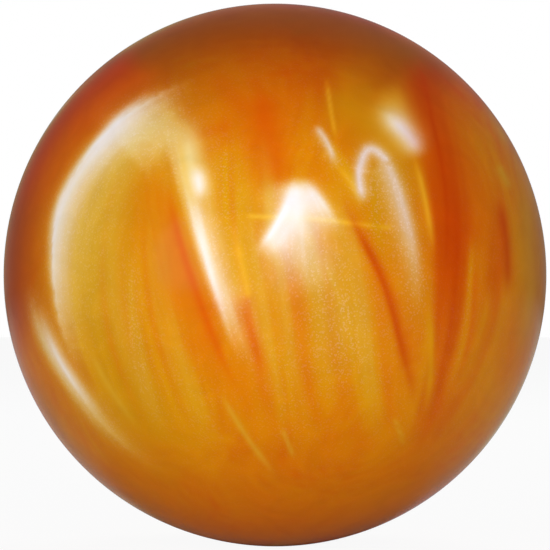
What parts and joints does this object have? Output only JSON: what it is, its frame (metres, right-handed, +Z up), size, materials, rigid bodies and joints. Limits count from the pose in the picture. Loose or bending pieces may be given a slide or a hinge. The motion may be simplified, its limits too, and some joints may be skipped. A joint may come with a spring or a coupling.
{
  "type": "bowling ball",
  "caption": "Ten-pin bowling ball of pearl resin over a filler and a weight block, drilled, with soft finger inserts and a twist-lock thumb that lifts out.",
  "frame": {"origin": "centre of the ball", "axes": "+Z up, through the pole opposite the cradle; the plain undrilled face looks along -Y; the grip is in the upper back, on the +Y +Z side"},
  "size_m": [0.217, 0.217, 0.217],
  "materials": {
    "pearl_resin": "polished orange pearl resin with gold and white swirls",
    "filler": "cast filler, unpolished",
    "weight_block": "cast mineral-filled resin",
    "weight_block_cap": "cast mineral-filled resin",
    "pin_resin": "polished flush with the ball",
    "mark_paint": "paint-filled punch mark",
    "insert_urethane": "soft moulded urethane, satin",
    "sleeve_plastic": "moulded, satin",
    "ring_rubber": "moulded rubber",
    "inner_sleeve_plastic": "moulded, satin",
    "slug_urethane": "turned and sanded urethane"
  },
  "bodies": {
    "ball": {"coverstock": "pearl_resin", "outer_core": "filler", "weight_block": "weight_block", "core_cap": "weight_block_cap", "locating_pin": "pin_resin", "centre_mark": "mark_paint", "middle_finger_insert": "insert_urethane", "ring_finger_insert": "insert_urethane", "thumb_outer_sleeve": "sleeve_plastic"},
    "thumb_ring": {"preload_ring": "ring_rubber"},
    "thumb_insert": {"thumb_inner_sleeve": "inner_sleeve_plastic", "thumb_slug": "slug_urethane"}
  },
  "joints": [
    {"name": "thumb_lift", "type": "slide", "parent": "ball", "child": "thumb_ring", "axis": [0, 0.9692, 0.2464], "range_m": [0, 0.075]},
    {"name": "thumb_twist", "type": "hinge", "parent": "thumb_ring", "child": "thumb_insert", "pos_m": [0, 0.08722, 0.02218], "axis": [0, 0.9692, 0.2464], "range_deg": [0, 45]}
  ]
}
